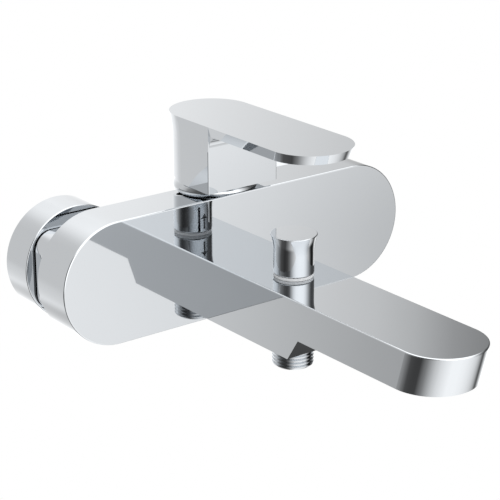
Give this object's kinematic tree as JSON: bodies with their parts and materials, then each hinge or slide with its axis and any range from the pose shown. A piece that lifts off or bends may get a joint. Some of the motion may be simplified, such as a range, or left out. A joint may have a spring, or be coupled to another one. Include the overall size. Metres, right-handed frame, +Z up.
{
  "type": "wall mounted bath faucet",
  "caption": "Chrome wall mounted bath faucet: round-ended front, single lever above, long flat spout with pull-up diverter knob and threaded shower outlet.",
  "frame": {"origin": "on the finished wall, midway between the two inlet axes", "axes": "+X to the right of somebody facing the wall, +Y into the wall, +Z up"},
  "size_m": [0.214, 0.2463, 0.1177],
  "materials": {
    "polished_chrome": "mirror polished chrome plate",
    "nickel_plate": "satin nickel plate",
    "cast_brass": "cast and machined",
    "stainless_steel": "bright stainless steel",
    "black_rubber": "smooth moulded rubber",
    "white_ceramic": "lapped ceramic",
    "moulded_plastic": "fine moulded plastic"
  },
  "bodies": {
    "faucet_body": {"aerator_gasket": "black_rubber", "aerator_housing": "polished_chrome", "aerator_insert": "moulded_plastic", "aerator_screen": "stainless_steel", "body_casting": "cast_brass", "cartridge_base": "moulded_plastic", "cartridge_housing": "moulded_plastic", "cartridge_nut": "cast_brass", "channel_plugs": "cast_brass", "check_valve_body": "moulded_plastic", "check_valve_spring": "stainless_steel", "diverter_guide": "moulded_plastic", "diverter_spring": "stainless_steel", "domed_cap": "polished_chrome", "fixed_ceramic_disc": "white_ceramic", "front_shell": "polished_chrome", "left_eccentric_union": "nickel_plate", "left_filter_washer": "black_rubber", "left_inlet_tail": "cast_brass", "left_rosette": "polished_chrome", "left_union_nut": "nickel_plate", "nipple_seals": "black_rubber", "port_seals": "black_rubber", "right_eccentric_union": "nickel_plate", "right_filter_washer": "black_rubber", "right_inlet_tail": "cast_brass", "right_rosette": "polished_chrome", "right_union_nut": "nickel_plate", "rod_seal": "black_rubber", "shell_screws": "stainless_steel", "shower_outlet": "polished_chrome", "spout": "polished_chrome", "spout_nipple": "cast_brass", "spout_screws": "stainless_steel"},
    "rotor": {"cartridge_rotor": "moulded_plastic", "pivot_pin": "stainless_steel"},
    "lever": {"lever_handle": "polished_chrome", "handle_set_screw": "stainless_steel", "set_screw_plug": "moulded_plastic", "cartridge_stem": "stainless_steel"},
    "discs": {"moving_ceramic_disc": "white_ceramic", "disc_carrier": "moulded_plastic"},
    "diverter": {"diverter_knob": "polished_chrome", "diverter_rod": "stainless_steel", "diverter_piston": "moulded_plastic", "lower_valve_seal": "black_rubber", "upper_valve_seal": "black_rubber"},
    "poppet": {"check_valve_poppet": "moulded_plastic"}
  },
  "joints": [
    {"name": "temperature_turn", "type": "hinge", "parent": "faucet_body", "child": "rotor", "pos_m": [0, -0.035, 0.03], "axis": [0, 0, 1], "range_deg": [-45, 45]},
    {"name": "flow_lift", "type": "hinge", "parent": "rotor", "child": "lever", "pos_m": [0, -0.035, 0.03], "axis": [-1, 0, 0], "range_deg": [0, 15]},
    {"name": "disc_slide", "type": "slide", "parent": "rotor", "child": "discs", "axis": [0, -1, 0], "range_m": [0, 0.0029]},
    {"name": "diverter_pull", "type": "slide", "parent": "faucet_body", "child": "diverter", "axis": [0, 0, 1], "range_m": [0, 0.0072], "stiffness_N_per_m": 150, "springref_m": -0.004, "deforming": ["diverter_spring"]},
    {"name": "check_valve_open", "type": "slide", "parent": "faucet_body", "child": "poppet", "axis": [0, 0, -1], "range_m": [0, 0.0025], "stiffness_N_per_m": 60, "springref_m": -0.002, "deforming": ["check_valve_spring"]}
  ],
  "couplings": [
    {"joint": "disc_slide", "follows": "flow_lift", "m_per_rad": 0.0107}
  ]
}
